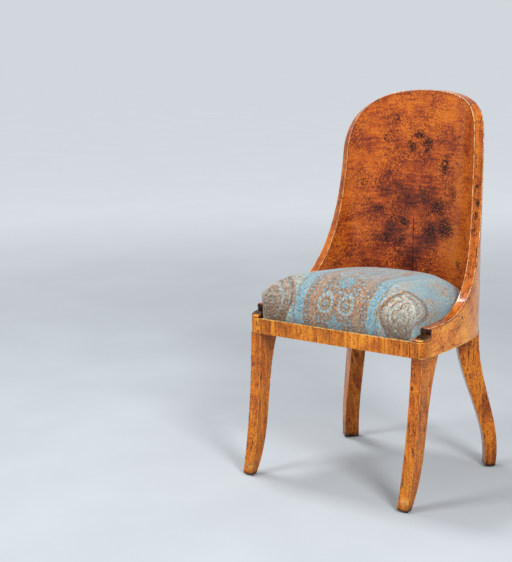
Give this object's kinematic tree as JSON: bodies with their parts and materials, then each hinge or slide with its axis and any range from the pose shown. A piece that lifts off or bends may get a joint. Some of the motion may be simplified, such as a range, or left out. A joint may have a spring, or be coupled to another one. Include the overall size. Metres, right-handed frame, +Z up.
{
  "type": "klismos chair",
  "caption": "Klismos side chair: a horseshoe back in burr veneer sweeps down into low arms, on sabre legs, with a lift-out seat covered in woven cloth.",
  "frame": {"origin": "on the floor, at the middle of the chair's width and depth", "axes": "+X across the chair to the right as seen from the front, +Y from front to back, +Z up"},
  "size_m": [0.47, 0.4486, 0.881],
  "materials": {
    "burr_veneer": "french polished burr veneer",
    "lipping": "french polished, lighter",
    "leg_wood": "french polished",
    "core_wood": "plain, unpolished",
    "frame_wood": "plain, unpolished",
    "jute": "coarse plain weave",
    "horsehair": "matted",
    "shawl_cloth": "woven in turquoise, tan and cream",
    "steel": "dark, worn"
  },
  "bodies": {
    "chair": {"back_bearer": "core_wood", "corner_block_left": "lipping", "corner_block_right": "lipping", "edge_lipping_left": "lipping", "edge_lipping_right": "lipping", "front_glide_left": "steel", "front_glide_right": "steel", "front_glue_block_left": "core_wood", "front_glue_block_right": "core_wood", "front_leg_left": "leg_wood", "front_leg_right": "leg_wood", "front_rail": "core_wood", "front_rail_veneer": "lipping", "inner_veneer_left": "burr_veneer", "inner_veneer_right": "burr_veneer", "outer_veneer_left": "burr_veneer", "outer_veneer_right": "burr_veneer", "rear_corner_block_left": "core_wood", "rear_corner_block_right": "core_wood", "rear_glide_left": "steel", "rear_glide_right": "steel", "rear_leg_left": "leg_wood", "rear_leg_right": "leg_wood", "shell_stave_1_left": "core_wood", "shell_stave_1_right": "core_wood", "shell_stave_2_left": "core_wood", "shell_stave_2_right": "core_wood", "shell_stave_3_left": "core_wood", "shell_stave_3_right": "core_wood", "shell_stave_4_left": "core_wood", "shell_stave_4_right": "core_wood", "shell_stave_5_left": "core_wood", "shell_stave_5_right": "core_wood", "shell_stave_6_left": "core_wood", "shell_stave_6_right": "core_wood", "shell_stave_7_left": "core_wood", "shell_stave_7_right": "core_wood", "side_bearer_left": "core_wood", "side_bearer_right": "core_wood"},
    "drop_in_seat": {"hessian": "jute", "seat_cover": "shawl_cloth", "seat_frame_back": "frame_wood", "seat_frame_front": "frame_wood", "seat_frame_side_left": "frame_wood", "seat_frame_side_right": "frame_wood", "stuffing": "horsehair", "webbing_crosswise_back": "jute", "webbing_crosswise_front": "jute", "webbing_crosswise_middle": "jute", "webbing_lengthwise_left": "jute", "webbing_lengthwise_middle": "jute", "webbing_lengthwise_right": "jute"}
  },
  "joints": [
    {"name": "seat_lift", "type": "slide", "parent": "chair", "child": "drop_in_seat", "axis": [0, 0, 1], "range_m": [0, 0.12]}
  ]
}
